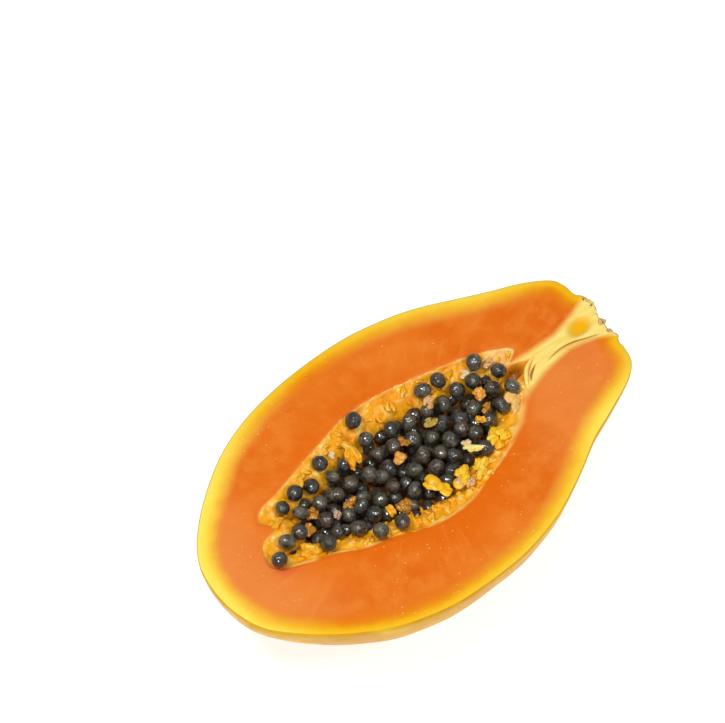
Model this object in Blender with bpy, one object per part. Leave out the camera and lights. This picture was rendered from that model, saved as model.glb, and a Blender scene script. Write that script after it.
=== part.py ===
"""Half of a ripe papaya, cut lengthwise through its stem scar and lying on its back, with its seeds in place.

Frame: +X runs along the fruit from the blossom end to the stem end, +Y across the cut face, and +Z up.
The origin is on the surface that the half rests on, under the middle of its box. The fruit is one grown
piece, skin and flesh together, and each seed is a piece of its own.
"""

import math

import bmesh
import bpy
import numpy as np
from mathutils import Euler, Matrix, Vector

MM = 0.001

# Driving dimensions, in millimetres.
DEPTH_TO_HALF_WIDTH = 0.86  # a papaya is nearly round across, and a little flattened
REST_FLAT_SAG = 0.7  # how much of the belly the resting spot flattens
CAVITY_DEPTH = 7.0  # from the cut face down to the pulp that the seeds lie on
EDGE_ROUND = 0.3  # the skin's cut edge isn't sharp
SEED_LONG = 5.9  # with its jelly coat
SEED_ROUND = 5.5
GAP = 0.3  # left between neighbours

# Mesh resolution.
AROUND = 112
SKIN_RINGS = 12
CAVITY_RINGS = 7

# The skin's edge in the cut plane, anticlockwise seen from above, in millimetres from the seed cavity's middle.
OUTLINE = [
    (82.9, 3.4), (82.2, 7.6), (80.3, 10.4), (80.0, 14.8), (77.8, 19.4), (70.2, 24.8), (60.2, 29.7),
    (50.0, 35.0), (40.0, 40.2), (30.0, 44.2), (15.0, 48.1), (0.0, 49.6), (-15.0, 49.6), (-30.0, 47.8),
    (-45.0, 43.2), (-60.0, 34.7), (-71.0, 25.8), (-77.3, 17.5), (-80.0, 8.0), (-80.3, -2.0), (-77.4, -12.8),
    (-70.2, -22.2), (-60.0, -31.8), (-50.0, -38.7), (-40.0, -43.9), (-25.0, -48.4), (-10.0, -49.9),
    (5.0, -49.8), (20.0, -47.0), (30.0, -43.4), (40.0, -38.7), (50.0, -33.4), (60.0, -29.8), (72.3, -24.8),
    (77.4, -20.6), (79.1, -15.6), (79.4, -12.4), (80.9, -10.2), (80.2, -6.0), (81.0, -0.2),
]

# The seed cavity's edge in the cut plane, the same way round. Its blossom end has two lobes.
CAVITY = [
    (53.6, 2.2), (47.6, 5.2), (51.6, 8.4), (47.0, 12.6), (40.0, 15.8), (30.0, 19.4), (20.0, 22.3), (10.0, 25.0),
    (0.0, 26.4), (-10.0, 26.4), (-20.0, 24.6), (-30.0, 22.8), (-40.0, 20.8), (-48.5, 19.6), (-52.0, 16.6),
    (-49.8, 11.4), (-57.0, 9.4), (-59.4, 2.4), (-56.5, -1.6), (-48.0, -5.6), (-40.5, -8.6), (-33.5, -13.0),
    (-23.5, -16.4), (-12.0, -21.6), (1.0, -23.6), (14.0, -21.3), (25.2, -17.8), (34.0, -13.0), (41.0, -7.8),
    (47.5, -3.2),
]

# Where lines through the seeds meet the cut plane, in millimetres, row by row from the blossom end. Each line
# leans by LEAN, in x and y, for each millimetre of height.
LEAN = np.array([-0.36, -0.4])
SEEDS = [
    (-56.4, 1.8), (-50.4, 5.0), (-45.0, 5.0), (-42.8, 14.8), (-36.6, 16.7), (-40.3, 10.5), (-34.6, 4.6),
    (-31.4, 13.0), (-32.5, 7.8), (-28.0, 7.3), (-40.7, -4.2), (-35.6, -3.1), (-28.6, -1.0), (-29.8, -6.8),
    (-23.3, 19.2), (-23.4, 12.7), (-20.9, 6.6), (-21.4, 1.6), (-22.6, -6.4), (-25.0, -12.2), (-17.6, -14.6),
    (-17.4, 13.5), (-14.0, 5.6), (-11.9, -3.0), (-16.6, -3.6), (-4.7, 23.8), (-6.4, 15.3), (-7.0, 9.3),
    (-7.9, 3.5), (-6.7, -8.6), (-1.6, 8.0), (-1.3, -2.9), (3.0, 12.8), (7.6, 11.2), (4.0, -7.0), (3.1, -13.0),
    (6.8, 4.3), (3.2, -1.2), (11.2, 2.4), (11.4, -7.4), (13.0, -1.9), (15.8, 9.0), (15.9, 3.0), (20.0, 16.8),
    (25.3, 16.4), (22.1, 8.8), (20.2, 1.6), (21.9, -6.2), (20.8, -12.6), (27.8, 9.0), (27.1, 0.8), (29.4, -5.4),
    (33.4, 8.7), (34.0, -4.7), (38.7, 13.2), (37.4, 2.4), (42.5, 5.6), (42.2, -1.8),
]

SEED_REACH = SEED_LONG / 2 + GAP / 2
SETTLE_STEPS = 400
GOLDEN_ANGLE = math.radians(137.5)
FOOTPRINT = [(0.0, 0.0)] + [
    (share * math.cos(turn), share * math.sin(turn))
    for share in (0.35, 0.65, 0.85, 0.97)
    for turn in np.linspace(0.0, 2 * math.pi, 16, endpoint=False)
]


def smooth_loop(points, per_span=24):
    """A closed Catmull-Rom curve through the points."""
    points = np.array(points)
    before, after = np.roll(points, 1, axis=0), np.roll(points, -1, axis=0)
    beyond = np.roll(points, -2, axis=0)
    spans = []
    for t in np.linspace(0.0, 1.0, per_span, endpoint=False):
        spans.append(
            0.5
            * (
                2 * points
                + (after - before) * t
                + (2 * before - 5 * points + 4 * after - beyond) * t**2
                + (3 * points - before - 3 * after + beyond) * t**3
            )
        )
    return np.stack(spans, axis=1).reshape(-1, 2)


class Outline:
    """A loop round the origin, as a radius for each direction."""

    def __init__(self, points):
        loop = smooth_loop(points)
        angle = np.unwrap(np.arctan2(loop[:, 1], loop[:, 0]))
        order = np.argsort(angle)
        self.angle, self.reach = angle[order], np.hypot(*loop.T)[order]
        self.loop = loop

    def radius(self, angle):
        return np.interp(angle, self.angle, self.reach, period=2 * math.pi)

    def corners(self, angles):
        return np.stack([np.cos(angles), np.sin(angles)], axis=1) * self.radius(angles)[:, None]


skin = Outline(OUTLINE)
cavity = Outline(CAVITY)
upper = skin.loop[skin.loop[:, 1] > 0]
lower = skin.loop[skin.loop[:, 1] <= 0]
upper = upper[np.argsort(upper[:, 0])]
lower = lower[np.argsort(lower[:, 0])]


def belly_depth(x, y):
    """How far the skin lies below the cut plane: half an ellipse across the fruit at every x."""
    high = np.interp(x, upper[:, 0], upper[:, 1])
    low = np.interp(x, lower[:, 0], lower[:, 1])
    half = (high - low) / 2
    across = np.clip((y - (high + low) / 2) / half, -1.0, 1.0)
    return DEPTH_TO_HALF_WIDTH * half * np.sqrt(1.0 - across**2)


def cavity_floor(x, y):
    """Height of the fruit's upper surface over the cut plane: 0 on the flesh, below 0 in the cavity."""
    share = np.hypot(x, y) / cavity.radius(np.arctan2(y, x))
    return -CAVITY_DEPTH * np.clip(1.0 - share**4, 0.0, 1.0)


angles = np.linspace(0.0, 2 * math.pi, AROUND, endpoint=False)
edge = skin.corners(angles)
middle = (edge.max(axis=0) + edge.min(axis=0)) / 2
grid_x = np.linspace(-30.0, 30.0, 61)
cut_height = float(belly_depth(grid_x, np.zeros(61)).max()) - REST_FLAT_SAG


def rest_share(corner):
    """The share of the way from the middle to the skin's edge at which the resting flat ends."""
    shares = np.linspace(0.0, 1.0, 400)
    below = belly_depth(shares * corner[0], shares * corner[1]) >= cut_height
    return shares[below].max()


def skin_rings():
    """Rings from the cut edge down to the resting flat, each AROUND points (x, y, z) from the cut plane."""
    ends = np.arccos([rest_share(corner) for corner in edge])
    rings = []
    for step in range(SKIN_RINGS, -1, -1):
        shares = np.cos(ends * step / SKIN_RINGS)
        flat = edge * shares[:, None]
        depth = belly_depth(flat[:, 0], flat[:, 1]) if step else np.full(AROUND, EDGE_ROUND)
        rings.append(np.column_stack([flat, -np.minimum(depth, cut_height)]))
    return rings


def cavity_rings():
    """Rings from the cut edge inwards over the cut face, then down the cavity's wall to its floor."""
    reach = skin.radius(angles)
    inset = edge * ((reach - EDGE_ROUND) / reach)[:, None]
    rings = [np.column_stack([inset, np.zeros(AROUND)])]
    rim = cavity.corners(angles)
    for step in range(CAVITY_RINGS + 1):
        share = math.cos(math.pi / 2 * step / (CAVITY_RINGS + 1))
        flat = rim * share
        rings.append(np.column_stack([flat, cavity_floor(flat[:, 0], flat[:, 1])]))
    return rings


def place(point):
    """A point given from the cavity's middle and the cut plane, in millimetres, in the part's frame."""
    return Vector((point[0] - middle[0], point[1] - middle[1], point[2] + cut_height)) * MM


def material(name, colour, roughness, coat=0.0):
    made = bpy.data.materials.new(name)
    made.use_nodes = True
    surface = made.node_tree.nodes["Principled BSDF"]
    surface.inputs["Base Color"].default_value = (*colour, 1.0)
    surface.inputs["Roughness"].default_value = roughness
    surface.inputs["Metallic"].default_value = 0.0
    surface.inputs["Coat Weight"].default_value = coat
    return made


def add_object(name, mesh, surface):
    mesh.materials.append(surface)
    made = bpy.data.objects.new(name, mesh)
    bpy.context.scene.collection.objects.link(made)
    return made


def build_fruit(surface):
    """The half fruit as one closed loft: resting flat, skin, cut edge, cut face and cavity."""
    body = bmesh.new()
    loops = [[body.verts.new(place(point)) for point in ring] for ring in skin_rings() + cavity_rings()]
    body.faces.new(list(reversed(loops[0])))
    for low, high in zip(loops, loops[1:]):
        for i in range(AROUND):
            j = (i + 1) % AROUND
            body.faces.new((low[i], low[j], high[j], high[i]))
    floor = body.verts.new(place((0.0, 0.0, -CAVITY_DEPTH)))
    for i in range(AROUND):
        body.faces.new((loops[-1][i], loops[-1][(i + 1) % AROUND], floor))
    bmesh.ops.recalc_face_normals(body, faces=body.faces)
    bmesh.ops.triangulate(body, faces=body.faces)
    mesh = bpy.data.meshes.new("papaya_half")
    body.to_mesh(mesh)
    body.free()
    made = add_object("papaya_half", mesh, surface)
    mesh.shade_smooth()
    mesh.set_sharp_from_angle(angle=math.radians(35))
    return made


def lowest_centre(x, y):
    """The lowest a seed's centre may be, so that it clears the fruit all over its footprint."""
    reach = SEED_LONG / 2 + GAP
    heights = [
        cavity_floor(x + dx * reach, y + dy * reach) + reach * math.sqrt(1 - dx**2 - dy**2) for dx, dy in FOOTPRINT
    ]
    return np.max(heights, axis=0)


def push_apart(centres):
    """One pass that moves each pair of overlapping seeds apart, half each."""
    between = centres[:, None] - centres[None]
    distance = np.linalg.norm(between, axis=2) + np.eye(len(centres))
    short = np.clip(2 * SEED_REACH - distance, 0.0, None)
    np.fill_diagonal(short, 0.0)
    centres += 0.5 * ((short / distance)[:, :, None] * between).sum(axis=1)


def settled_seeds():
    """Seed centres that overlap neither each other nor the fruit, as near as that allows to SEEDS."""
    wanted = np.array(SEEDS)
    lift = 0.2 * np.sin(GOLDEN_ANGLE * np.arange(len(SEEDS)))  # breaks ties, so that crowded seeds ride up or down
    centres = np.column_stack([wanted, lowest_centre(*wanted.T) + 0.5 + lift])
    for step in range(SETTLE_STEPS):
        hold = 0.04 * (1 - step / SETTLE_STEPS)
        centres[:, :2] += hold * (wanted + LEAN * centres[:, 2:] - centres[:, :2])
        centres[:, 2] -= 5 * hold
        push_apart(centres)
        centres[:, 2] = np.maximum(centres[:, 2], lowest_centre(centres[:, 0], centres[:, 1]))
    return centres


def build_seeds(surface):
    """One egg-shaped solid for each seed, lying at its own angle."""
    for number, centre in enumerate(settled_seeds()):
        shape = bmesh.new()
        bmesh.ops.create_icosphere(shape, subdivisions=2, radius=0.5)
        turn = Euler((0.25 * math.sin(number), 0.35 * math.cos(2 * number), GOLDEN_ANGLE * number))
        size = Matrix.Diagonal((SEED_LONG * MM, SEED_ROUND * MM, SEED_ROUND * MM, 1.0))
        bmesh.ops.transform(shape, matrix=turn.to_matrix().to_4x4() @ size, verts=shape.verts)
        mesh = bpy.data.meshes.new(f"seed_{number + 1:02d}")
        shape.to_mesh(mesh)
        shape.free()
        mesh.shade_smooth()
        seed = add_object(mesh.name, mesh, surface)
        seed.location = place(centre)


for old in list(bpy.data.objects):
    bpy.data.objects.remove(old)
build_fruit(material("flesh", (0.86, 0.26, 0.03), 0.35))
build_seeds(material("seed", (0.02, 0.02, 0.022), 0.25, coat=0.6))
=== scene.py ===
"""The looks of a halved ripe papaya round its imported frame: skin, flesh, pulp, seeds and stem end.

Lengths are millimetres from the seed cavity's middle and the cut plane, and in_frame() turns them into the
frame's metres. The long way of the fruit is X, with the stem end at +X, and the cut face is at Z = 0.
"""

import math
import random

import bmesh
import bpy
import numpy as np
from mathutils import Euler, Matrix, Vector, kdtree, noise


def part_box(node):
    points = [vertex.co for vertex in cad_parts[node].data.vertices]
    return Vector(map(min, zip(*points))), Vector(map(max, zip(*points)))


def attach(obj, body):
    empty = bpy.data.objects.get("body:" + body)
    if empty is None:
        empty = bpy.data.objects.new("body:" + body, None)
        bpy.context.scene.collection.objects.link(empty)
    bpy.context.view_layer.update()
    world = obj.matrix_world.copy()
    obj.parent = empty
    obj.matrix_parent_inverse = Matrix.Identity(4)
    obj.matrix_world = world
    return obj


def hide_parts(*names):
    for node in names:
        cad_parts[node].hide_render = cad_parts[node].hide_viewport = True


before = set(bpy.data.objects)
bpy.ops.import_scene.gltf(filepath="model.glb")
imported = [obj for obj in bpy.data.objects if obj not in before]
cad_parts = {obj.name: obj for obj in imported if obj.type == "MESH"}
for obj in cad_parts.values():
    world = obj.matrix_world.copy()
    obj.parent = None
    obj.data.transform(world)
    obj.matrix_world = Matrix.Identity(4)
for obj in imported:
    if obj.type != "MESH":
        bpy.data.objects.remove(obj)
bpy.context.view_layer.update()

MM = 0.001
MIDDLE = np.array([1.2197, -0.1561])  # the cavity's middle isn't the fruit's
CUT_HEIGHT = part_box("papaya_half")[1][2] / MM
DEPTH_TO_HALF_WIDTH = 0.86
EDGE_ROUND = 0.3

# The skin's edge in the cut plane, anticlockwise seen from above.
OUTLINE = [
    (82.9, 3.4), (82.2, 7.6), (80.3, 10.4), (80.0, 14.8), (77.8, 19.4), (70.2, 24.8), (60.2, 29.7),
    (50.0, 35.0), (40.0, 40.2), (30.0, 44.2), (15.0, 48.1), (0.0, 49.6), (-15.0, 49.6), (-30.0, 47.8),
    (-45.0, 43.2), (-60.0, 34.7), (-71.0, 25.8), (-77.3, 17.5), (-80.0, 8.0), (-80.3, -2.0), (-77.4, -12.8),
    (-70.2, -22.2), (-60.0, -31.8), (-50.0, -38.7), (-40.0, -43.9), (-25.0, -48.4), (-10.0, -49.9),
    (5.0, -49.8), (20.0, -47.0), (30.0, -43.4), (40.0, -38.7), (50.0, -33.4), (60.0, -29.8), (72.3, -24.8),
    (77.4, -20.6), (79.1, -15.6), (79.4, -12.4), (80.9, -10.2), (80.2, -6.0), (81.0, -0.2),
]

# The seed cavity's edge, the same way round.
CAVITY = [
    (53.6, 2.2), (47.6, 5.2), (51.6, 8.4), (47.0, 12.6), (40.0, 15.8), (30.0, 19.4), (20.0, 22.3), (10.0, 25.0),
    (0.0, 26.4), (-10.0, 26.4), (-20.0, 24.6), (-30.0, 22.8), (-40.0, 20.8), (-48.5, 19.6), (-52.0, 16.6),
    (-49.8, 11.4), (-57.0, 9.4), (-59.4, 2.4), (-56.5, -1.6), (-48.0, -5.6), (-40.5, -8.6), (-33.5, -13.0),
    (-23.5, -16.4), (-12.0, -21.6), (1.0, -23.6), (14.0, -21.3), (25.2, -17.8), (34.0, -13.0), (41.0, -7.8),
    (47.5, -3.2),
]

# Where lines through the seeds between the frame's own meet the cut plane. Each line leans by LEAN, in x and y,
# for each millimetre of height.
LEAN = np.array([-0.36, -0.4, 1.0])
BETWEEN_HEIGHT = -3.2
MORE_SEEDS = [
    (-51.2, -0.3), (-36.6, 13.0), (-41.0, -0.3), (-31.3, -2.4), (-27.4, -7.3), (-20.5, 19.5), (-20.0, -7.0),
    (12.0, 10.8), (-12.0, 0.8), (-6.4, -3.8), (5.2, -8.2), (9.5, -1.0), (16.8, -2.3), (7.0, -7.0),
    (37.8, 7.0), (35.0, -1.0), (24.5, -1.0), (30.0, -2.8), (30.5, 12.6), (-22.5, -1.5),
]

# Bits of pulp: kind, middle (x, y), height of the middle, size (x, y, z), and its turn in degrees.
LUMPS = [
    ("gold", -46.0, -1.8, -1.4, 8.5, 5.5, 3.4, -20), ("amber", -41.0, 5.0, -2.2, 4.6, 4.2, 3.2, 0),
    ("pink", -31.5, 2.0, -1.0, 3.2, 2.5, 2.4, 30), ("amber", -25.0, 2.6, -1.6, 5.4, 3.6, 3.0, 15),
    ("gold", -31.8, 18.6, -0.6, 6.5, 3.4, 3.0, 20), ("gold", -13.5, 15.5, 0.2, 4.6, 10.5, 3.6, -12),
    ("orange", -2.3, 3.0, -0.6, 5.2, 4.6, 2.6, 40), ("amber", 3.3, 7.7, -1.8, 4.4, 4.0, 3.0, 0),
    ("khaki", 13.7, 6.6, -0.4, 5.0, 3.6, 2.8, 10), ("gold", -17.0, -8.4, -1.2, 2.8, 5.4, 3.0, 20),
    ("amber", -12.5, -10.6, -1.2, 4.4, 6.2, 3.2, 15), ("bright", -0.6, -12.8, -0.2, 6.4, 9.5, 3.2, 35),
    ("bright", 8.2, -14.4, -0.4, 9.0, 7.0, 3.4, 10), ("lemon", 17.5, -10.6, 0.9, 3.2, 6.4, 1.3, 48),
    ("cream", 17.2, -7.1, 0.3, 4.0, 2.6, 2.0, -20), ("blush", 6.0, -16.4, 0.0, 4.2, 3.0, 2.4, 50),
    ("blush", 8.6, -18.4, -0.4, 4.8, 2.8, 2.4, 40), ("bright", 26.0, -11.8, -0.2, 7.4, 6.2, 3.4, 20),
    ("gold", 26.3, -3.9, 0.2, 3.6, 3.4, 3.0, 60), ("peach", 38.6, -6.0, -0.1, 9.6, 5.6, 3.2, 48),
    ("orange", 32.5, 3.6, 0.2, 4.8, 4.4, 2.8, 10), ("amber", 31.5, -1.6, -1.0, 4.4, 3.2, 3.0, 40),
    ("blush", 18.2, 12.6, -0.8, 4.6, 3.6, 3.0, 25), ("cream", -18.2, 18.7, 0.2, 2.2, 2.6, 2.0, 0),
    ("cream", 33.8, 12.6, -0.6, 3.4, 2.8, 2.2, 0), ("blush", 42.3, 10.2, -0.2, 4.2, 3.0, 2.4, 10),
    ("gold", 20.5, 14.2, -1.8, 5.0, 3.8, 3.0, 15), ("gold", 30.0, 16.2, -1.2, 7.0, 3.2, 2.8, 18),
    ("amber", -36.5, 8.6, -2.8, 5.5, 4.5, 3.0, 30), ("gold", -50.5, 12.6, -0.9, 6.5, 4.0, 2.6, 25),
    ("bright", 15.0, -16.6, -0.6, 9.5, 5.2, 3.0, 16), ("gold", -22.0, -14.8, -0.6, 6.5, 3.0, 2.6, -24),
]

ANGLES = 700
SKIN_RINGS = 26
FACE_RINGS = 46
PULP_RINGS = 66
SEED_LONG = 6.0
DEEP_APART, DEEP_ROWS_APART, DEEP_HEIGHT = 5.9, 5.0, -7.6  # the seeds under the others
DEEP_INSIDE = 6.8  # how far they stay from the cavity's edge
GOLDEN_ANGLE = math.radians(137.5)
SETTLE_STEPS = 160
CRUMB_SPOTS = 110  # places tried for the crumbs of pulp
BORDER = 9.0  # from the skin in to where the flesh has its full colour

rng = random.Random(7)


# --- shape ---------------------------------------------------------------------------------------------------


def smooth_loop(points, per_span=24):
    """A closed Catmull-Rom curve through the points."""
    points = np.array(points)
    before, after = np.roll(points, 1, axis=0), np.roll(points, -1, axis=0)
    beyond = np.roll(points, -2, axis=0)
    spans = []
    for t in np.linspace(0.0, 1.0, per_span, endpoint=False):
        spans.append(
            0.5
            * (
                2 * points
                + (after - before) * t
                + (2 * before - 5 * points + 4 * after - beyond) * t**2
                + (3 * points - before - 3 * after + beyond) * t**3
            )
        )
    return np.stack(spans, axis=1).reshape(-1, 2)


class Outline:
    """A loop round the origin, as a radius for each direction and as a distance from any point."""

    def __init__(self, points):
        self.loop = smooth_loop(points)
        angle = np.unwrap(np.arctan2(self.loop[:, 1], self.loop[:, 0]))
        order = np.argsort(angle)
        self.angle, self.reach = angle[order], np.hypot(*self.loop.T)[order]
        dense = np.concatenate([self.loop + (np.roll(self.loop, -1, axis=0) - self.loop) * t for t in (0, 0.5)])
        self.tree = kdtree.KDTree(len(dense))
        for i, (x, y) in enumerate(dense):
            self.tree.insert((x, y, 0.0), i)
        self.tree.balance()

    def radius(self, angle):
        return np.interp(angle, self.angle, self.reach, period=2 * math.pi)

    def corners(self, angles):
        return np.stack([np.cos(angles), np.sin(angles)], axis=1) * self.radius(angles)[:, None]

    def distance(self, x, y):
        return np.array([self.tree.find((px, py, 0.0))[2] for px, py in zip(x, y)])


skin = Outline(OUTLINE)
cavity = Outline(CAVITY)
upper = skin.loop[skin.loop[:, 1] > 0]
lower = skin.loop[skin.loop[:, 1] <= 0]
upper = upper[np.argsort(upper[:, 0])]
lower = lower[np.argsort(lower[:, 0])]


def belly_depth(x, y):
    """How far the skin lies below the cut plane: half an ellipse across the fruit at every x."""
    high = np.interp(x, upper[:, 0], upper[:, 1])
    low = np.interp(x, lower[:, 0], lower[:, 1])
    half = (high - low) / 2
    across = np.clip((y - (high + low) / 2) / half, -1.0, 1.0)
    return DEPTH_TO_HALF_WIDTH * half * np.sqrt(1.0 - across**2)


def fade(value, start, end):
    """0 up to start, 1 from end on, and smooth between."""
    t = np.clip((value - start) / (end - start), 0.0, 1.0)
    return t * t * (3 - 2 * t)


def cloudy(points, size, octaves=3, offset=0.0):
    """Soft noise from about -1 to 1, with features about size across."""
    shift = Vector((offset, 3.7 * offset, 0.0))
    return np.array([noise.fractal(Vector(p) / size + shift, 1.0, 2.0, octaves) for p in points])


def grains(points, size, offset=0.0):
    """Rounded grains about size across: 0.5 at each grain's middle and near or below 0 between grains."""
    shift = Vector((offset, 1.3 * offset, 0.0))
    return np.array([0.5 - noise.voronoi(Vector(p) / size + shift)[0][0] for p in points])


def to_line(x, y, line):
    """Distance to a line of points, and how far along it the nearest place is, from 0 to 1."""
    line = np.array(line)
    best = np.full(len(x), 1e9)
    along = np.zeros(len(x))
    for i, (a, b) in enumerate(zip(line, line[1:])):
        step = b - a
        t = np.clip(((x - a[0]) * step[0] + (y - a[1]) * step[1]) / (step @ step), 0.0, 1.0)
        away = np.hypot(x - a[0] - t * step[0], y - a[1] - t * step[1])
        nearer = away < best
        best = np.where(nearer, away, best)
        along = np.where(nearer, (i + t) / (len(line) - 1), along)
    return best, along


CORE_X = [44.0, 49.0, 54.0, 60.0, 65.0, 70.0, 75.0, 80.0, 84.0]
CORE_HIGH = [4.8, 4.5, 4.0, 3.5, 3.0, 4.0, 5.0, 6.6, 8.2]
CORE_LOW = [-7.4, -5.2, -4.2, -3.6, -3.2, -4.4, -6.2, -9.2, -11.0]
PIT = (73.6, 0.5)
CRACK = [
    (76.5, -6.0), (75.0, -5.5), (72.0, -4.2), (69.0, -2.8), (66.0, -1.9), (63.0, -1.5), (60.0, -1.7),
    (57.0, -2.2),
]
POCKET = (46.6, 2.6)
PIT_DOWN, POCKET_DOWN = 1.5, 2.5
LUMP_SIZE, GRAIN_SIZE = 3.4, 1.6  # of the pulp that lines the cavity

# How pale and how wide the yellow border under the skin is, by direction in degrees from the stem end.
RIM_LOOK = [
    (-180, 1.0), (-168, 0.6), (-152, 0.0), (-120, 0.1), (-96, 0.3), (-44, 0.55), (-26, 1.0), (-16, 0.5),
    (-10, 0.15), (-6, 0.0), (12, 0.0), (18, 0.35), (27, 0.6), (56, 0.5), (75, 0.25), (96, 0.0), (115, 0.35),
    (136, 0.85), (150, 1.0), (180, 1.0),
]

# How deep the pulp lies, by distance inside the cavity's edge.
PULP_IN = [0.0, 0.6, 1.5, 3.0, 5.0, 7.0, 9.0, 11.0, 14.0, 60.0]
PULP_DOWN = [0.3, 0.8, 1.25, 1.8, 2.7, 4.3, 7.2, 9.4, 10.6, 11.0]


def core_share(x, y):
    """1 in the pale core that runs from the stem to the cavity, and 0 outside it."""
    inside = np.minimum(np.interp(x, CORE_X, CORE_HIGH) - y, y - np.interp(x, CORE_X, CORE_LOW))
    return fade(inside, -1.9, 1.1) * fade(x, 43.0, 49.0)


def pit_share(x, y):
    return 1.0 - fade(np.hypot((x - PIT[0]) / 6.0, (y - PIT[1]) / 3.9), 0.35, 1.0)


def top_surface(x, y, inward):
    """Heights of the cut face and the pulp, and how far up its own lump of pulp each place is.

    inward is the distance inside the cavity's edge, and below 0 outside it.
    """
    spots = np.column_stack([x, y, np.zeros_like(x)])
    height = 0.07 * cloudy(spots, 5.0) - 0.35 * (1 - fade(-inward, 0.0, 1.4)) * (inward <= 0)
    height -= 0.25 * core_share(x, y) + PIT_DOWN * pit_share(x, y)
    away, along = to_line(x, y, CRACK)
    height -= 0.5 * (1 - fade(away, 0.0, 0.9)) * np.sin(np.pi * np.clip(along, 0.02, 0.98)) * (inward <= 0)
    detail = np.zeros_like(x)
    pulp = inward > 0
    if pulp.any():
        here = spots[pulp]
        deep = inward[pulp]
        stirred = np.column_stack([cloudy(here, 2.6, 2, 3.0), cloudy(here, 2.6, 2, 8.0), here[:, 2]])
        warped = here + 0.9 * stirred
        big, small = grains(warped, LUMP_SIZE), grains(warped, GRAIN_SIZE, 5.0)
        fine = 0.75 * fade(here[:, 0], 42.0, 45.5) * fade(here[:, 1], 3.5, 5.5) + 0.34
        detail[pulp] = 1.7 * big + fine * small + 0.7 * cloudy(here, 6.0, 4, 9.0)
        rough = fade(deep, 0.1, 1.6)
        height[pulp] = -np.interp(deep, PULP_IN, PULP_DOWN) + rough * detail[pulp]
        pocket = 1 - fade(np.hypot((here[:, 0] - POCKET[0]) / 5.5, (here[:, 1] - POCKET[1]) / 2.6), 0.3, 1.0)
        height[pulp] -= POCKET_DOWN * pocket
    return height, detail


def in_frame(points):
    """Millimetres from the cavity's middle and the cut plane, as metres in the frame."""
    points = np.asarray(points, dtype=float)
    return (points - np.array([MIDDLE[0], MIDDLE[1], -CUT_HEIGHT])) * MM


# --- materials -----------------------------------------------------------------------------------------------


def srgb(red, green, blue):
    """A colour as it shows on a screen, 0 to 255, as linear light."""
    parts = [c / 255 for c in (red, green, blue)]
    return tuple(c / 12.92 if c <= 0.04045 else ((c + 0.055) / 1.055) ** 2.4 for c in parts) + (1.0,)


class Shader:
    """A Principled material and short ways to add the nodes that feed it."""

    def __init__(self, name, **settings):
        self.material = bpy.data.materials.new(name)
        self.material.use_nodes = True
        self.tree = self.material.node_tree
        self.surface = self.tree.nodes["Principled BSDF"]
        self.place = self.node("ShaderNodeTexCoord").outputs["Object"]
        for key, value in settings.items():
            self.surface.inputs[key.replace("_", " ")].default_value = value

    def node(self, kind, inputs=None, **settings):
        made = self.tree.nodes.new(kind)
        for key, value in settings.items():
            setattr(made, key, value)
        for key, value in (inputs or {}).items():
            if isinstance(value, bpy.types.NodeSocket):
                self.tree.links.new(value, made.inputs[key])
            else:
                made.inputs[key].default_value = value
        return made

    def feed(self, name, socket):
        self.tree.links.new(socket, self.surface.inputs[name])

    def kept(self, name):
        return self.node("ShaderNodeAttribute", attribute_name=name).outputs["Fac"]

    def cloud(self, size, detail=3.0, vector=None, offset=(0.0, 0.0, 0.0), roughness=0.55, distortion=0.0):
        """Noise from 0 to 1 with features about size millimetres across."""
        vector = self.place if vector is None else vector
        moved = self.node("ShaderNodeVectorMath", {0: vector, 1: offset}, operation="ADD").outputs[0]
        inputs = {"Vector": moved, "Scale": 1 / (size * MM), "Detail": detail}
        inputs.update({"Roughness": roughness, "Distortion": distortion})
        return self.node("ShaderNodeTexNoise", inputs).outputs["Fac"]

    def cells(self, size, feature="F1", vector=None):
        inputs = {"Vector": self.place if vector is None else vector, "Scale": 1 / (size * MM)}
        return self.node("ShaderNodeTexVoronoi", inputs, feature=feature)

    def scaled(self, value, low, high, to_low=0.0, to_high=1.0):
        inputs = {"Value": value, "From Min": low, "From Max": high, "To Min": to_low, "To Max": to_high}
        return self.node("ShaderNodeMapRange", inputs, interpolation_type="SMOOTHSTEP").outputs[0]

    def maths(self, operation, a, b=0.0):
        return self.node("ShaderNodeMath", {0: a, 1: b}, operation=operation).outputs[0]

    def mix(self, share, a, b, blend="MIX"):
        made = self.node("ShaderNodeMix", data_type="RGBA", blend_type=blend)
        for key, value in ((0, share), (6, a), (7, b)):
            if isinstance(value, bpy.types.NodeSocket):
                self.tree.links.new(value, made.inputs[key])
            else:
                made.inputs[key].default_value = value
        return made.outputs[2]

    def ramp(self, value, stops):
        made = self.node("ShaderNodeValToRGB", {"Fac": value})
        stops = sorted(stops)
        while len(made.color_ramp.elements) < len(stops):
            made.color_ramp.elements.new(0.5)
        for element, (at, colour) in zip(made.color_ramp.elements, stops):
            element.position = at
            element.color = colour
        return made.outputs["Color"]

    def bump(self, heights, strength=1.0, onto=None):
        """heights is a socket in millimetres."""
        inputs = {"Height": heights, "Strength": strength, "Distance": MM}
        if onto is not None:
            inputs["Normal"] = onto
        return self.node("ShaderNodeBump", inputs).outputs["Normal"]


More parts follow.
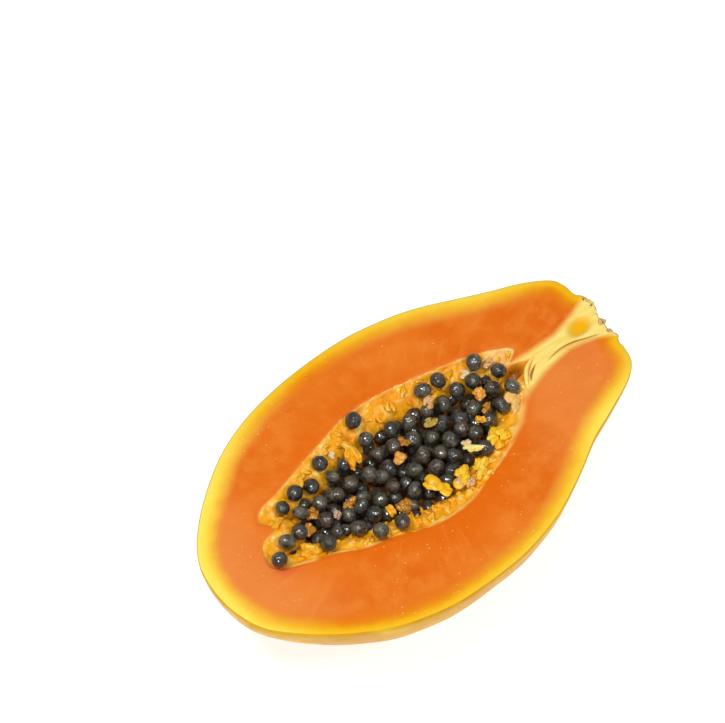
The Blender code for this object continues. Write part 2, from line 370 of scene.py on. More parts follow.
def flesh_material():
    s = Shader("flesh", Roughness=0.36, Specular_IOR_Level=0.11)
    s.surface.inputs["Subsurface Weight"].default_value = 0.12
    s.surface.inputs["Subsurface Radius"].default_value = (1.0, 0.35, 0.1)
    s.surface.inputs["Subsurface Scale"].default_value = 0.002
    rim, cav, pale = s.kept("rim"), s.kept("cav"), s.kept("pale")
    wobble = s.maths("MULTIPLY", s.maths("SUBTRACT", s.cloud(6.0), 0.5), 2.2)
    rim = s.maths("ADD", rim, wobble)
    across = s.maths("DIVIDE", rim, BORDER)
    sides = s.ramp(across, [
        (0.0, srgb(243, 188, 22)), (0.2, srgb(240, 178, 10)), (0.31, srgb(235, 155, 6)),
        (0.44, srgb(231, 131, 10)), (0.61, srgb(229, 122, 16)), (1.0, srgb(226, 111, 20)),
    ])
    between = s.ramp(across, [
        (0.0, srgb(243, 214, 76)), (0.2, srgb(246, 199, 48)), (0.31, srgb(243, 183, 36)),
        (0.44, srgb(239, 167, 40)), (0.61, srgb(233, 146, 44)), (0.83, srgb(229, 124, 34)),
        (1.0, srgb(227, 115, 26)),
    ])
    ends = s.ramp(across, [
        (0.0, srgb(250, 230, 106)), (0.2, srgb(252, 226, 84)), (0.31, srgb(252, 219, 78)),
        (0.44, srgb(250, 202, 66)), (0.61, srgb(243, 177, 58)), (0.83, srgb(238, 156, 54)),
        (1.0, srgb(235, 141, 48)),
    ])
    paler = s.node("ShaderNodeMapRange", {"Value": pale, "From Max": 0.5}).outputs[0]
    palest = s.node("ShaderNodeMapRange", {"Value": pale, "From Min": 0.5}).outputs[0]
    edge = s.mix(palest, s.mix(paler, sides, between), ends)
    broad = s.scaled(s.cloud(26.0, 3.0), 0.32, 0.68)
    flesh = s.mix(broad, srgb(223, 103, 8), srgb(232, 120, 30))
    mottle = s.scaled(s.cloud(5.5, 4.0, offset=(0.3, 0.1, 0.0)), 0.38, 0.72, 0.0, 0.6)
    flesh = s.mix(mottle, flesh, srgb(236, 134, 44))
    flesh = s.mix(s.maths("MULTIPLY", s.kept("warm"), 0.8), flesh, srgb(235, 139, 66))
    flesh = s.mix(s.maths("MULTIPLY", s.kept("deep"), 0.9), flesh, srgb(226, 105, 0))
    flesh = s.mix(s.maths("MULTIPLY", s.kept("red"), 0.6), flesh, srgb(224, 92, 52))
    colour = s.mix(s.scaled(rim, 5.0, 9.0), edge, flesh)
    streaks = s.cloud(2.2, 4.0, vector=s.node("ShaderNodeAttribute", attribute_name="spoke").outputs["Vector"])
    colour = s.mix(s.scaled(streaks, 0.55, 0.85, 0.0, 0.25), colour, srgb(244, 160, 84))
    # Painted highlights: sparse small pale flecks that stand for glints on the wet cut face.
    painted_glints = s.scaled(s.cells(2.1).outputs["Distance"], 0.13, 0.05)
    chosen = s.scaled(s.cloud(14.0, 2.0, offset=(0.5, 0.2, 0.1)), 0.45, 0.6)
    colour = s.mix(s.maths("MULTIPLY", painted_glints, s.maths("MULTIPLY", chosen, 0.75)), colour, srgb(255, 214, 150))
    hem = s.maths("POWER", s.scaled(s.maths("DIVIDE", cav, s.kept("hem")), 1.0, 0.0), 1.4)
    colour = s.mix(s.maths("MULTIPLY", hem, s.kept("seam")), colour, srgb(249, 190, 98))
    fibres = s.cloud(1.6, 4.0, vector=s.node("ShaderNodeAttribute", attribute_name="grain").outputs["Vector"])
    pith = s.mix(s.scaled(fibres, 0.3, 0.7), srgb(248, 211, 102), srgb(251, 229, 134))
    colour = s.mix(s.kept("core"), colour, pith)
    colour = s.mix(s.kept("pit"), colour, srgb(239, 178, 10))
    s.feed("Base Color", colour)
    s.feed("Roughness", s.scaled(s.cloud(1.2, 3.0), 0.3, 0.7, 0.3, 0.5))
    fine = s.maths("MULTIPLY", s.cloud(0.9, 4.0), 0.10)
    wide = s.maths("MULTIPLY", s.cloud(3.5, 2.0), 0.16)
    s.feed("Normal", s.bump(s.maths("ADD", fine, wide), 0.7))
    return s.material


def pulp_material(name, low, high, tips, roughness=0.3, coat=0.12):
    """Wet pulp: the low colour in the cracks is painted shade, the high colour lies on the lumps and the tips
    colour on their highest places.
    """
    s = Shader(name, Roughness=roughness, Coat_Weight=coat, Coat_Roughness=0.08, Specular_IOR_Level=0.25)
    s.surface.inputs["Subsurface Weight"].default_value = 0.2
    s.surface.inputs["Subsurface Radius"].default_value = (1.0, 0.45, 0.12)
    s.surface.inputs["Subsurface Scale"].default_value = 0.0015
    # lift is how far up its lump each place is; its low values give the painted shade in the cracks.
    lift = s.kept("lift")
    grain = s.cells(1.0).outputs["Distance"]
    level = s.maths("ADD", lift, s.maths("MULTIPLY", s.maths("SUBTRACT", s.cloud(1.9, 4.0), 0.5), 1.4))
    # Painted shade between small grains: the colour level drops towards each grain's edge.
    level = s.maths("SUBTRACT", level, s.maths("MULTIPLY", grain, 0.06))
    colour = s.ramp(level, [(0.0, low), (0.35, high), (0.62, high), (0.9, tips)])
    patch = s.scaled(s.cloud(7.0, 2.0, offset=(0.7, 0.4, 0.0)), 0.5, 0.75, 0.0, 0.4)
    colour = s.mix(patch, colour, low)
    # Painted shade: a dark reddish brown deep down the cavity and in the sunken pocket, by the dark mask.
    colour = s.mix(s.kept("dark"), colour, srgb(140, 62, 18))
    colour = s.mix(s.maths("MULTIPLY", s.kept("cream"), 0.8), colour, srgb(251, 204, 122))
    s.feed("Base Color", colour)
    bumps = s.maths("ADD", s.maths("MULTIPLY", grain, -0.07), s.maths("MULTIPLY", s.cloud(1.1, 3.0), 0.22))
    s.feed("Normal", s.bump(bumps, 0.7))
    return s.material


def skin_material():
    s = Shader("skin", Roughness=0.4, Specular_IOR_Level=0.14)
    s.surface.inputs["Subsurface Weight"].default_value = 0.06
    s.surface.inputs["Subsurface Radius"].default_value = (1.0, 0.6, 0.1)
    s.surface.inputs["Subsurface Scale"].default_value = 0.002
    broad = s.scaled(s.cloud(45.0, 3.0, distortion=0.4), 0.34, 0.66)
    colour = s.mix(broad, srgb(214, 150, 2), srgb(228, 174, 6))
    light = s.scaled(s.cloud(22.0, 4.0, offset=(0.2, 0.6, 0.0)), 0.52, 0.74, 0.0, 0.6)
    colour = s.mix(light, colour, srgb(238, 204, 50))
    ochre = s.scaled(s.cloud(16.0, 5.0, offset=(0.9, 0.1, 0.3)), 0.52, 0.78, 0.0, 0.6)
    colour = s.mix(ochre, colour, srgb(196, 138, 8))
    mottle = s.scaled(s.cloud(3.0, 5.0, offset=(0.4, 0.3, 0.3)), 0.5, 0.8, 0.0, 0.35)
    colour = s.mix(mottle, colour, srgb(206, 152, 12))
    freckles = s.cells(2.4)
    chosen = s.scaled(freckles.outputs["Color"], 0.62, 0.7)
    spots = s.maths("MULTIPLY", s.scaled(freckles.outputs["Distance"], 0.17, 0.08), chosen)
    worn = s.scaled(s.cloud(30.0, 2.0, offset=(0.1, 0.8, 0.5)), 0.4, 0.65, 0.25, 0.9)
    colour = s.mix(s.maths("MULTIPLY", spots, worn), colour, srgb(150, 98, 26))
    blotches = s.cells(9.0)
    rare = s.scaled(blotches.outputs["Color"], 0.8, 0.84)
    marks = s.maths("MULTIPLY", s.scaled(blotches.outputs["Distance"], 0.16, 0.07), rare)
    colour = s.mix(s.maths("MULTIPLY", marks, 0.7), colour, srgb(112, 70, 22))
    cork = s.ramp(s.cloud(1.6, 5.0), [
        (0.25, srgb(92, 66, 38)), (0.45, srgb(170, 134, 82)), (0.62, srgb(222, 196, 140)),
        (0.8, srgb(236, 222, 176)),
    ])
    scar = s.kept("scar")
    colour = s.mix(scar, colour, cork)
    s.feed("Base Color", colour)
    waxy = s.scaled(s.cloud(5.0, 4.0), 0.3, 0.7, 0.28, 0.42)
    s.feed("Roughness", s.maths("ADD", waxy, s.maths("MULTIPLY", scar, 0.4)))
    peel = s.maths("MULTIPLY", s.cloud(1.1, 3.0), 0.05)
    peel = s.maths("ADD", peel, s.maths("MULTIPLY", s.cloud(7.0, 2.0), 0.25))
    peel = s.maths("ADD", peel, s.maths("MULTIPLY", spots, 0.05))
    peel = s.maths("ADD", peel, s.maths("MULTIPLY", s.maths("MULTIPLY", s.cloud(1.0, 5.0), scar), 0.9))
    s.feed("Normal", s.bump(peel, 0.8))
    return s.material


def seed_material(name, dark, bloom, tint):
    """A wrinkled seed under a clear, glossy coat of jelly."""
    s = Shader(name, Roughness=0.5, Coat_Weight=1.0, Coat_Roughness=0.02, Coat_IOR=1.7, Specular_IOR_Level=0.2)
    s.surface.inputs["Sheen Weight"].default_value = 0.3
    s.surface.inputs["Sheen Roughness"].default_value = 0.3
    s.surface.inputs["Sheen Tint"].default_value = tint
    patches = s.cloud(2.0, 4.0, roughness=0.65)
    colour = s.mix(s.scaled(patches, 0.38, 0.68), dark, bloom)
    veins = s.scaled(s.cells(1.9, "DISTANCE_TO_EDGE").outputs["Distance"], 0.09, 0.0)
    thick = s.scaled(s.cloud(3.0, 3.0, offset=(0.3, 0.3, 0.6)), 0.42, 0.72)
    colour = s.mix(s.maths("MULTIPLY", veins, s.scaled(thick, 0.0, 1.0, 0.1, 0.5)), colour, tint)
    colour = s.mix(s.maths("MULTIPLY", thick, 0.5), colour, tint)
    s.feed("Base Color", colour)
    heights = s.maths("ADD", s.maths("MULTIPLY", veins, 0.08), s.maths("MULTIPLY", patches, 0.3))
    s.feed("Normal", s.bump(heights, 0.9))
    s.feed("Coat Normal", s.bump(s.maths("MULTIPLY", s.cloud(1.3, 2.0), 0.26), 0.9))
    return s.material


# --- meshes --------------------------------------------------------------------------------------------------


def add_piece(name, mesh, surfaces, replaced=()):
    for surface in surfaces:
        mesh.materials.append(surface)
    piece = bpy.data.objects.new(name, mesh)
    bpy.context.scene.collection.objects.link(piece)
    mesh.shade_smooth()
    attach(piece, "root")
    if replaced:
        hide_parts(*replaced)


def keep(mesh, name, values):
    """Stores one number or one vector for each vertex, for the material to read."""
    values = np.asarray(values, dtype=np.float32)
    kind, key = ("FLOAT", "value") if values.ndim == 1 else ("FLOAT_VECTOR", "vector")
    mesh.attributes.new(name, kind, "POINT").data.foreach_set(key, values.ravel())


def even_angles():
    """Directions that split the skin's edge evenly, with more of them at the stem end."""
    fine = np.linspace(-math.pi, math.pi, 7201)
    density = skin.radius(fine) * (1 + 1.6 * np.exp(-((fine / 0.2) ** 2)))
    total = np.concatenate([[0.0], np.cumsum((density[1:] + density[:-1]) / 2)])
    return np.interp(np.arange(ANGLES) / ANGLES * total[-1], total, fine)


def build_half(surfaces):
    angles = even_angles()
    edge = skin.corners(angles)
    # The torn scar where the stem was gives the outline small teeth.
    at_scar = fade(angles, -0.16, -0.11) * (1 - fade(angles, 0.08, 0.12))
    teeth = cloudy(np.column_stack([edge, np.zeros(ANGLES)]), 1.3, 3, 2.0)
    edge = edge * (1 + at_scar * (0.005 * teeth - 0.002))[:, None]
    rim = cavity.corners(angles)
    fray = cloudy(np.column_stack([rim, np.zeros(ANGLES)]), 2.2, 4, 4.0)
    rim = rim * (1 + 0.45 * fray / np.hypot(*rim.T))[:, None]

    rings, kinds = [], []
    for step in range(1, SKIN_RINGS + 1):
        share = math.sin(math.pi / 2 * step / SKIN_RINGS)
        flat = edge * share
        depth = belly_depth(*flat.T)
        if step == SKIN_RINGS:
            depth = np.full(ANGLES, EDGE_ROUND)
        rings.append(np.column_stack([flat, -np.minimum(depth, CUT_HEIGHT)]))
        kinds.append(0)
    inset = edge * (1 - EDGE_ROUND / np.hypot(*edge.T))[:, None]
    for step in range(FACE_RINGS):
        share = step / FACE_RINGS
        flat = inset * (1 - share) + rim * share
        rings.append(np.column_stack([flat, np.zeros(ANGLES)]))
        kinds.append(1)
    for step in range(PULP_RINGS):
        share = (1 - step / PULP_RINGS) ** 0.9
        rings.append(np.column_stack([rim * share, np.zeros(ANGLES)]))
        kinds.append(2)
    count = len(rings)
    points = np.concatenate(rings + [np.array([[0.0, 0.0, -CUT_HEIGHT], [0.0, 0.0, 0.0]])])
    is_skin = np.concatenate([np.repeat(np.array(kinds), ANGLES), [0, 2]]) == 0

    x, y = points[:, 0], points[:, 1]
    angle = np.arctan2(y, x)
    rim_reach = np.interp(angle, angles, np.hypot(*rim.T), period=2 * math.pi)
    share = np.hypot(x, y) / np.maximum(rim_reach, 1e-6)
    to_cavity = cavity.distance(x, y) * np.where(share < 1.0, -1.0, 1.0)
    to_rim = skin.distance(x, y)
    top = ~is_skin
    inward = np.where(top, -to_cavity, -1.0)
    height, detail = top_surface(x[top], y[top], inward[top])
    points[top, 2] = height - 0.3 * (1 - fade(to_rim[top], 0.0, 0.5))

    # The skin isn't quite even, and the scar is rough.
    skin_at = points[is_skin]
    from_stem = np.hypot(skin_at[:, 1] + 0.8, skin_at[:, 2])
    scar = fade(skin_at[:, 0], 76.5, 79.0) * (1 - fade(from_stem, 8.5, 10.5))
    swell = 0.25 * cloudy(skin_at, 26.0, 2, 1.0) + 0.5 * scar * cloudy(skin_at, 1.6, 3, 6.0)
    free = fade(-skin_at[:, 2], 0.3, 5.0) * fade(skin_at[:, 2] + CUT_HEIGHT, 0.0, 3.0)
    outwards = skin_at / np.linalg.norm(skin_at, axis=1)[:, None]
    points[is_skin] = skin_at + outwards * ((swell - 0.25) * free)[:, None]

    faces, face_kinds = [], []
    around = np.arange(ANGLES)
    nxt = (around + 1) % ANGLES
    for i in range(count - 1):
        low, high = i * ANGLES, (i + 1) * ANGLES
        faces.append(np.column_stack([low + around, low + nxt, high + nxt, high + around]))
        face_kinds.append(np.full(ANGLES, kinds[i]))
    quads = np.concatenate(faces)
    bottom = [(len(points) - 2, int(b), int(a)) for a, b in zip(around, nxt)]
    last = (count - 1) * ANGLES
    middle = [(last + int(a), last + int(b), len(points) - 1) for a, b in zip(around, nxt)]
    mesh = bpy.data.meshes.new("papaya_half_look")
    mesh.from_pydata(in_frame(points).tolist(), [], quads.tolist() + bottom + middle)
    slots = np.concatenate([np.concatenate(face_kinds), np.zeros(ANGLES), np.full(ANGLES, 2)]).astype(np.int32)
    mesh.polygons.foreach_set("material_index", slots)

    pale = np.interp(np.degrees(angle), *np.array(RIM_LOOK).T)
    near_cavity = fade(40.0 - to_cavity * 2.2 - np.abs(x + 5) * 0.55, 0.0, 28.0)
    values = {
        "rim": to_rim,
        "cav": to_cavity,
        "pale": pale,
        "deep": near_cavity * np.where(y < 0, 1.0, 0.45) * top,
        "red": 1 - fade(np.hypot(x + 57.0, y + 2.0), 1.0, 5.5),
        "warm": (fade(-x, 42.0, 70.0) + 0.75 * fade(x, 22.0, 58.0) * fade(-y, -3.0, 8.0)) * top,
        "seam": np.clip((0.25 + 0.5 * fade(-y, -6.0, 6.0)) * (1 + 1.6 * cloudy(points, 8.0, 2, 7.0)), 0.0, 1.0),
        "hem": 0.9 + 2.2 * fade(x, 22.0, 38.0) * fade(-y, -4.0, 2.0) + 0.5 * cloudy(points, 5.0),
        "core": core_share(x, y) * top,
        "pit": pit_share(x, y) * top,
        "lift": np.zeros(len(points)),
        "dark": np.zeros(len(points)),
        "cream": np.zeros(len(points)),
        "scar": np.zeros(len(points)),
    }
    # lift sets the pulp's painted shade: low places in the cracks get the darker colour.
    values["lift"][top] = 0.6 + 0.34 * detail
    # dark is painted shade: darker deeper down the cavity and in the sunken pocket at the stem end.
    pocket = 1 - fade(np.hypot((x[top] - POCKET[0]) / 5.0, (y[top] - POCKET[1]) / 2.8), 0.45, 1.0)
    values["dark"][top] = np.maximum(fade(-points[top, 2], 5.5, 9.5) * 0.85, 0.75 * pocket)
    stem_lobe = fade(x[top], 42.0, 46.0) * fade(y[top], 4.5, 6.5)
    values["cream"][top] = values["seam"][top] * (1 - fade(-to_cavity[top], 0.1, 1.1)) + stem_lobe
    values["scar"][is_skin] = scar
    for name, numbers in values.items():
        keep(mesh, name, numbers)
    spoke = np.column_stack([np.cos(angle) * 55, np.sin(angle) * 55, to_cavity * 0.16]) * MM
    keep(mesh, "spoke", spoke)
    keep(mesh, "grain", np.column_stack([x * 0.18, y + 0.12 * x, np.zeros_like(x)]) * MM)
    add_piece("papaya_half_look", mesh, surfaces, ["papaya_half"])


def ball(subdivisions, radius=0.5):
    shape = bmesh.new()
    bmesh.ops.create_icosphere(shape, subdivisions=subdivisions, radius=radius)
    return shape


def rough_ball(size, turn, seed, jag=0.34, lump=0.16):
    """Vertices and faces of a torn lump of pulp, in millimetres about its own middle."""
    shape = ball(3, 1.0)
    at = np.array([v.co[:] for v in shape.verts])
    faces = [[v.index for v in f.verts] for f in shape.faces]
    shape.free()
    reach = 1 + jag * 2 * cloudy(at * 1.5, 1.3, 4, seed) + lump * 0.6 * grains(at * 1.6, 1.0, seed + 3.0)
    at = at * reach[:, None] * (np.array(size) / 2)
    spin = np.array(Euler((0.0, 0.0, turn)).to_matrix())
    # The last value is how far out each vertex lies, 0 to 1, which the pulp's colour shows as painted shade in
    # the dents.
    return at @ spin.T, faces, (reach - reach.min()) / max(np.ptp(reach), 1e-6)


def torn_lump(size, turn, seed, parts=7):
    """A lump torn out of the pulp: rough balls grown together, in millimetres about its own middle."""
    draw = random.Random(seed)
    points, faces, lifts = [], [], []
    for part in range(parts):
        share = draw.uniform(0.36, 0.6)
        away = np.array([draw.uniform(-0.32, 0.32), draw.uniform(-0.32, 0.32), draw.uniform(-0.2, 0.12)]) * size
        part_turn = draw.uniform(-0.6, 0.6)
        at, tri, lift = rough_ball(np.array(size) * share, part_turn, seed + 5.1 * part, 0.22, 0.1)
        start = part * len(at)
        points.append(at + away)
        faces += [[i + start for i in f] for f in tri]
        lifts.append(lift * 0.7 + 0.3 * draw.random())
    spin = np.array(Euler((0.0, 0.0, turn)).to_matrix())
    return np.concatenate(points) @ spin.T, faces, np.concatenate(lifts)


def mesh_of(name, points, faces, lift):
    mesh = bpy.data.meshes.new(name)
    mesh.from_pydata(in_frame(points).tolist(), [], faces)
    keep(mesh, "lift", lift)
    return mesh


def build_lumps(surfaces):
    for number, (kind, x, y, z, sx, sy, sz, turn) in enumerate(LUMPS):
        points, faces, lift = torn_lump((sx, sy, sz), math.radians(turn), number)
        mesh = mesh_of(f"pulp_{number + 1:02d}", points + np.array([x, y, z]), faces, lift)
        add_piece(mesh.name, mesh, [surfaces[kind]])


def clear_of(x, y, z, centres, reach):
    return all((x - a) ** 2 + (y - b) ** 2 + (z - c) ** 2 > reach**2 for a, b, c in centres)


def build_crumbs(surface, centres):
    """Small loose grains of pulp along the cavity's wall."""
    spots = []
    while len(spots) < CRUMB_SPOTS:
        turn = rng.uniform(-math.pi, math.pi)
        reach = cavity.radius(turn) * math.sqrt(rng.uniform(0.42, 0.97))
        spots.append((reach * math.cos(turn), reach * math.sin(turn)))
    spots = np.array(spots)
    inside = cavity.distance(*spots.T)
    height, _ = top_surface(*spots.T, inside)
    points, faces, lifts = [], [], []
    start = 0
    for number, ((x, y), deep, z) in enumerate(zip(spots, inside, height)):
        size = rng.uniform(0.9, 2.2)
        z = z + 0.15 * size
        if not 0.9 < deep < 8.5 or z > 0.6 or not clear_of(x, y, z, centres, 2.7 + 0.3 * size):
            continue
        shape = (size * rng.uniform(1.2, 2.4), size, size * rng.uniform(0.5, 0.8))
        turn = math.atan2(y, 0.5 * x) + rng.gauss(0.0, 0.6)
        at, tri, lift = rough_ball(shape, turn, 0.9 * number, 0.34, 0.1)
        points.append(at + np.array([x, y, z]))
        faces += [[i + start for i in f] for f in tri]
        lifts.append(lift)
        start += len(at)
    mesh = mesh_of("pulp_crumbs", np.concatenate(points), faces, np.concatenate(lifts))
    add_piece("pulp_crumbs", mesh, [surface])


def tube(name, line, widths, flatness, surface, sides=10, lift=0.5):
    """A closed, tapered strip along a line of points (x, y, z), widths across and flatness times that high."""
    line = np.array(line, dtype=float)
    fine = np.linspace(0, len(line) - 1, 6 * (len(line) - 1) + 1)
    knots = np.arange(len(line))
    centre = np.column_stack([np.interp(fine, knots, line[:, k]) for k in range(3)])
    for _ in range(4):
        centre[1:-1] = (centre[:-2] + 2 * centre[1:-1] + centre[2:]) / 4
    width = np.interp(fine, knots, widths)
    ahead = np.gradient(centre, axis=0)
    side = np.column_stack([-ahead[:, 1], ahead[:, 0], np.zeros(len(ahead))])
    side /= np.linalg.norm(side, axis=1)[:, None]
    points, faces = [], []
    for at, out, w in zip(centre, side, width):
        for k in range(sides):
            turn = 2 * math.pi * k / sides
            rise = np.array([0, 0, w / 2 * flatness * math.sin(turn)])
            points.append(at + out * (w / 2 * math.cos(turn)) + rise)
    for i in range(len(centre) - 1):
        for k in range(sides):
            a, b = i * sides + k, i * sides + (k + 1) % sides
            faces.append([a, b, b + sides, a + sides])
    faces.append(list(range(sides))[::-1])
    faces.append([(len(centre) - 1) * sides + k for k in range(sides)])
    mesh = mesh_of(name, np.array(points), faces, np.full(len(points), lift))
    add_piece(name, mesh, [surface])


def build_stem_end(surfaces):
    crack = [(x, y, -0.28) for x, y in CRACK]
    tube("core_crack", crack, [0.05, 0.2, 0.26, 0.32, 0.32, 0.26, 0.2, 0.05], 1.6, surfaces["rust"])
    flap = [
        (45.4, -6.4, -0.8), (46.4, -4.2, -0.2), (48.0, -1.8, 0.25), (50.0, 0.2, 0.35), (52.4, 1.4, 0.2),
        (55.0, 1.9, -0.2),
    ]
    tube("core_flap", flap, [0.5, 1.3, 1.6, 1.5, 1.1, 0.4], 0.8, surfaces["lemon"])
    slit = [(48.3, -4.1, -0.3), (49.5, -2.7, -0.25), (51.3, -1.4, -0.25), (53.5, -0.5, -0.3)]
    tube("core_slit", slit, [0.2, 0.9, 0.8, 0.15], 0.8, surfaces["rust"])
    knobs = [
        ("bark", 82.0, 6.9, -0.5, 1.3), ("bark", 82.4, 3.6, -0.5, 0.9), ("tan", 80.8, -3.2, -0.4, 2.2),
        ("tan", 80.2, -7.2, -0.6, 1.8), ("pith", 80.6, -9.6, -0.7, 1.6), ("pith", 81.6, 1.4, -0.8, 1.8),
        ("pith", 81.4, 5.4, -0.7, 1.7), ("bark", 80.6, -1.4, -1.6, 1.6), ("pith", 80.0, -5.6, -0.8, 1.6),
    ]
    for number, (kind, x, y, z, size) in enumerate(knobs):
        points, faces, lift = rough_ball((size, size, size * 0.8), number, 4.1 * number)
        mesh = mesh_of(f"scar_knob_{number + 1}", points + np.array([x - 0.7, y, z]), faces, lift)
        add_piece(mesh.name, mesh, [surfaces[kind]])


def seed_meshes():
    """Shapes that the seeds share: slightly uneven eggs, SEED_LONG long, by width, height and point."""
    eggs = [
        (0.9, 0.92, 0.05), (0.86, 0.88, 0.10), (0.93, 0.88, 0.02), (0.8, 0.84, 0.12), (0.88, 0.94, 0.04),
        (0.77, 0.82, 0.1),
    ]
    shapes = []
    for number, (wide, high, point) in enumerate(eggs):
        shape = ball(4)
        for v in shape.verts:
            end = v.co.x * 2
            v.co.y *= wide * (1 - point * end)
            v.co.z *= high * (1 - point * end)
            v.co *= (1 + 0.05 * noise.noise(v.co * 5 + Vector((number * 3.3, 0, 0)))) * SEED_LONG * MM
        mesh = bpy.data.meshes.new(f"seed_shape_{number + 1}")
        shape.to_mesh(mesh)
        shape.free()
        mesh.shade_smooth()
        shapes.append(mesh)
    return shapes


def place_seed(name, mesh, surface, centre, size, number, replaced=()):
    """centre is in millimetres from the cavity's middle. Seeds share meshes, so the object has the material."""
    seed = bpy.data.objects.new(name, mesh)
    bpy.context.scene.collection.objects.link(seed)
    seed.material_slots[0].link = "OBJECT"
    seed.material_slots[0].material = surface
    seed.location = in_frame(centre)
    seed.rotation_euler = (0.9 * math.sin(1.7 * number), 0.8 * math.cos(2.3 * number), GOLDEN_ANGLE * number)
    seed.scale = (size / SEED_LONG,) * 3
    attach(seed, "root")
    if replaced:
        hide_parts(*replaced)


def frame_seeds():
    """The frame's seeds: node name and centre in the cavity's coordinates."""
    found = []
    for name in sorted(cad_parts):
        if name.startswith("seed_"):
            low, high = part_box(name)
            centre = (np.array(low) + np.array(high)) / 2 / MM
            found.append((name, centre + np.array([MIDDLE[0], MIDDLE[1], -CUT_HEIGHT])))
    return found


def settle(spots, fixed, apart, floor):
    """Moves seed centres off the fixed ones and off each other, but never under the floor."""
    spots = spots.copy()
    for _ in range(SETTLE_STEPS):
        everything = np.concatenate([spots, fixed])
        between = spots[:, None] - everything[None]
        distance = np.linalg.norm(between, axis=2)
        distance[np.arange(len(spots)), np.arange(len(spots))] = 1e9
        short = np.clip(apart - distance, 0.0, None)
        spots += 0.4 * ((short / distance)[:, :, None] * between).sum(axis=1)
        spots[:, 2] = np.clip(spots[:, 2] - 0.02, floor, -0.5)
    return spots


def build_seeds(surfaces):
    shapes = seed_meshes()
    for mesh in shapes:
        mesh.materials.append(surfaces[0])
    known = frame_seeds()
    centres = np.array([centre for _, centre in known])
    for number, (name, centre) in enumerate(known):
        kind = surfaces[(number * 5 + number // 7) % len(surfaces)]
        size = 5.9 + 0.25 * math.sin(2.1 * number)
        place_seed(f"{name}_look", shapes[number % len(shapes)], kind, centre, size, number, [name])
    more = np.array([(x, y, 0.0) for x, y in MORE_SEEDS]) + BETWEEN_HEIGHT * LEAN
    more = settle(more, centres, apart=4.9, floor=-6.0)
    deep = np.array([
        (column * DEEP_APART + (row % 2) * DEEP_APART / 2 - 2.0, row * DEEP_ROWS_APART + 1.5, DEEP_HEIGHT)
        for row in range(-5, 6)
        for column in range(-12, 11)
    ])
    share = np.hypot(deep[:, 0], deep[:, 1]) / cavity.radius(np.arctan2(deep[:, 1], deep[:, 0]))
    deep = deep[(share < 1) & (cavity.distance(*deep[:, :2].T) > DEEP_INSIDE)]
    deep = settle(deep, np.concatenate([centres, more]), apart=4.8, floor=-8.6)
    for number, centre in enumerate(np.concatenate([more, deep])):
        kind = surfaces[(number * 3 + number // 5) % len(surfaces)]
        size = 5.7 + 0.4 * math.sin(1.3 * number)
        mesh = shapes[(number * 5) % len(shapes)]
        place_seed(f"more_seed_{number + 1:02d}", mesh, kind, centre, size, number + 70)
    return np.concatenate([centres, more])


# --- stage ---------------------------------------------------------------------------------------------------

VIEW_TURN = math.radians(-42.0)
VIEW_RISE = math.radians(62.0)
VIEW_WIDE = 235.625 * MM  # how much of the cut plane the picture takes in from side to side
ASIDE, UP = 16.315 * MM, -32.0775 * MM  # how far right of and above the view's middle the cavity's middle shows
CAMERA_AWAY = 8.0
FLOOR_HALF = 4.0
LIGHT_AWAY = 1.3
FLOOR_HEIGHT = -0.0001  # just clear of the resting flat


def view_axes():
    across = Vector((math.cos(VIEW_TURN), math.sin(VIEW_TURN), 0.0))
    level = math.cos(VIEW_RISE)
    back = Vector((math.sin(VIEW_TURN) * level, -math.cos(VIEW_TURN) * level, math.sin(VIEW_RISE)))
    return across, back.cross(across), back


def build_camera():
    across, upwards, back = view_axes()
    target = Vector(in_frame((0.0, 0.0, 0.0))) - (across * ASIDE + upwards * UP)
    lens = bpy.data.cameras.new("camera")
    lens.sensor_width = 36.0
    lens.lens = lens.sensor_width * CAMERA_AWAY / VIEW_WIDE
    lens.clip_start = 0.05
    camera = bpy.data.objects.new("camera", lens)
    facing = Matrix((across, upwards, back)).transposed().to_4x4()
    camera.matrix_world = Matrix.Translation(target + back * CAMERA_AWAY) @ facing
    bpy.context.scene.collection.objects.link(camera)
    bpy.context.scene.camera = camera


def add_light(name, place, size, energy, colour=(1.0, 1.0, 1.0)):
    """A square soft light that faces the fruit."""
    light = bpy.data.lights.new(name, "AREA")
    light.size = size
    light.energy = energy
    light.color = colour
    made = bpy.data.objects.new(name, light)
    made.location = place
    made.rotation_euler = (Vector((0.0, 0.0, 0.03)) - Vector(place)).to_track_quat("-Z", "Y").to_euler()
    bpy.context.scene.collection.objects.link(made)


def build_stage():
    corners = [(-1, -1), (1, -1), (1, 1), (-1, 1)]
    mesh = bpy.data.meshes.new("floor")
    mesh.from_pydata([(x * FLOOR_HALF, y * FLOOR_HALF, FLOOR_HEIGHT) for x, y in corners], [], [(0, 1, 2, 3)])
    floor = bpy.data.objects.new("floor", mesh)
    surface = Shader("floor", Roughness=0.9, Specular_IOR_Level=0.1)
    surface.surface.inputs["Base Color"].default_value = (0.55, 0.55, 0.55, 1.0)
    surface.surface.inputs["Emission Color"].default_value = (1.0, 1.0, 1.0, 1.0)
    surface.surface.inputs["Emission Strength"].default_value = 0.72
    mesh.materials.append(surface.material)
    bpy.context.scene.collection.objects.link(floor)
    world = bpy.data.worlds.new("studio")
    world.use_nodes = True
    world.node_tree.nodes["Background"].inputs["Color"].default_value = (1.0, 1.0, 1.0, 1.0)
    world.node_tree.nodes["Background"].inputs["Strength"].default_value = 0.3
    bpy.context.scene.world = world
    across, upwards, back = view_axes()
    add_light("key", back * LIGHT_AWAY - across * 0.5 + upwards * 0.5, 0.26, 8.4)
    add_light("second", back * LIGHT_AWAY + across * 0.55 + upwards * 0.2, 0.2, 4.6)
    add_light("low", back * LIGHT_AWAY - across * 0.1 - upwards * 0.4, 0.14, 2.2)
    add_light("far", back * LIGHT_AWAY + across * 0.15 + upwards * 0.7, 0.12, 1.8)
    bpy.context.scene.view_settings.view_transform = "Standard"
    bpy.context.scene.view_settings.look = "None"


# --- everything ----------------------------------------------------------------------------------------------

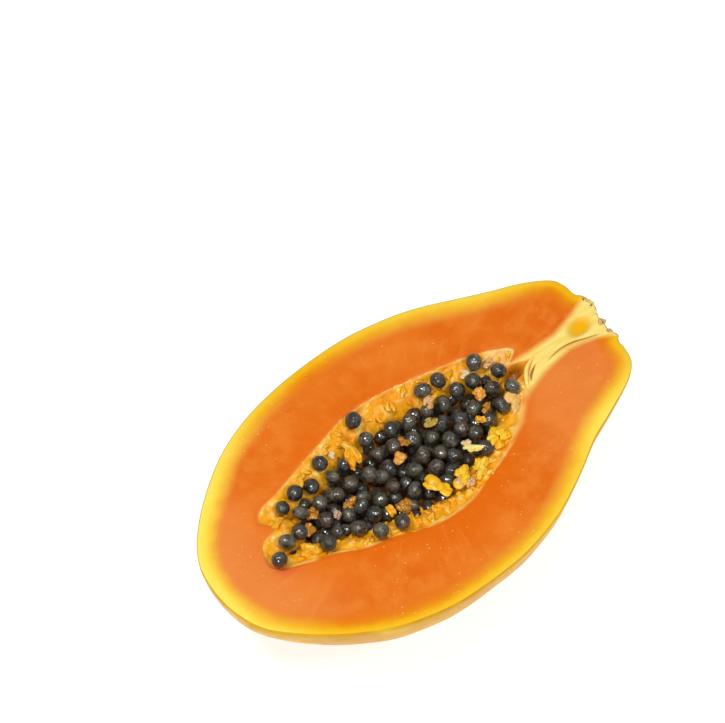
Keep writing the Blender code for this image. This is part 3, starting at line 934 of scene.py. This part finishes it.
gold = pulp_material("pulp_gold", srgb(224, 106, 4), srgb(250, 174, 24), srgb(255, 214, 108))
pulps = {
    "gold": gold,
    "bright": pulp_material("pulp_bright", srgb(242, 148, 4), srgb(254, 192, 24), srgb(255, 220, 96)),
    "orange": pulp_material("pulp_orange", srgb(214, 112, 24), srgb(240, 158, 60), srgb(250, 200, 116)),
    "amber": pulp_material("pulp_amber", srgb(132, 78, 16), srgb(190, 124, 26), srgb(230, 168, 62), 0.2, 0.6),
    "khaki": pulp_material("pulp_khaki", srgb(132, 108, 30), srgb(182, 150, 60), srgb(226, 196, 110), 0.22, 0.6),
    "lemon": pulp_material("pulp_lemon", srgb(240, 196, 84), srgb(253, 222, 116), srgb(255, 238, 168)),
    "cream": pulp_material("pulp_cream", srgb(224, 176, 112), srgb(244, 212, 156), srgb(252, 234, 196)),
    "pink": pulp_material("pulp_pink", srgb(150, 112, 88), srgb(190, 150, 124), srgb(216, 184, 160), 0.25, 0.7),
    "blush": pulp_material("pulp_blush", srgb(196, 134, 76), srgb(232, 176, 116), srgb(246, 212, 164), 0.25, 0.6),
    "peach": pulp_material("pulp_peach", srgb(232, 158, 70), srgb(248, 190, 104), srgb(254, 220, 150)),
    "pith": pulp_material("pith", srgb(220, 190, 110), srgb(246, 226, 150), srgb(253, 242, 196), 0.5, 0.0),
    "rust": pulp_material("rust", srgb(140, 74, 34), srgb(186, 112, 64), srgb(214, 150, 100), 0.45, 0.1),
    "tan": pulp_material("tan", srgb(168, 122, 78), srgb(212, 170, 118), srgb(236, 206, 160), 0.5, 0.0),
    "bark": pulp_material("bark", srgb(74, 46, 26), srgb(124, 82, 46), srgb(170, 128, 80), 0.7, 0.0),
}
seed_kinds = [
    seed_material("seed_black", srgb(11, 12, 13), srgb(44, 44, 41), srgb(106, 101, 88)),
    seed_material("seed_grey", srgb(20, 20, 19), srgb(74, 71, 60), srgb(142, 133, 108)),
    seed_material("seed_brown", srgb(18, 15, 14), srgb(64, 55, 46), srgb(126, 108, 86)),
    seed_material("seed_moss", srgb(15, 17, 14), srgb(54, 54, 40), srgb(114, 110, 80)),
]
build_half([skin_material(), flesh_material(), gold])
seed_centres = build_seeds(seed_kinds)
build_lumps(pulps)
build_crumbs(gold, seed_centres)
build_stem_end(pulps)
build_stage()
build_camera()
